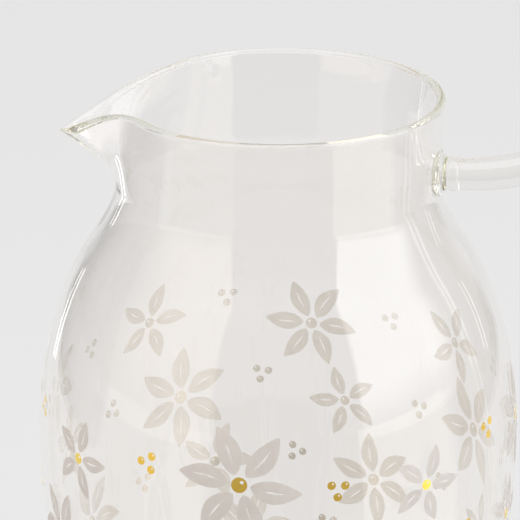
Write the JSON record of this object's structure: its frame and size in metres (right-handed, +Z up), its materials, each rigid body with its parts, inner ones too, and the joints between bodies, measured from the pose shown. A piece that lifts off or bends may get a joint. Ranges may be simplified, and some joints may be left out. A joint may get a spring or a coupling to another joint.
{
  "type": "glass pitcher",
  "caption": "Clear glass pitcher with a round belly, a straight wide neck with a pulled pouring spout, and a solid glass ear handle fused on opposite the spout.",
  "frame": {"origin": "centre of the flat base on the vessel's axis, on the table", "axes": "+Z up along the vessel's axis, -X towards the spout, +X towards the handle, +Y across"},
  "size_m": [0.1949, 0.15, 0.235],
  "materials": {
    "vessel_glass": "clear, fire-polished",
    "handle_glass": "clear, solid bar",
    "white_enamel": "fired opaque enamel print",
    "gold_lustre": "fired bright gold print"
  },
  "bodies": {
    "root": {"glass_body": "vessel_glass", "handle_bar": "handle_glass", "upper_handle_weld": "handle_glass", "lower_handle_weld": "handle_glass"}
  },
  "joints": []
}
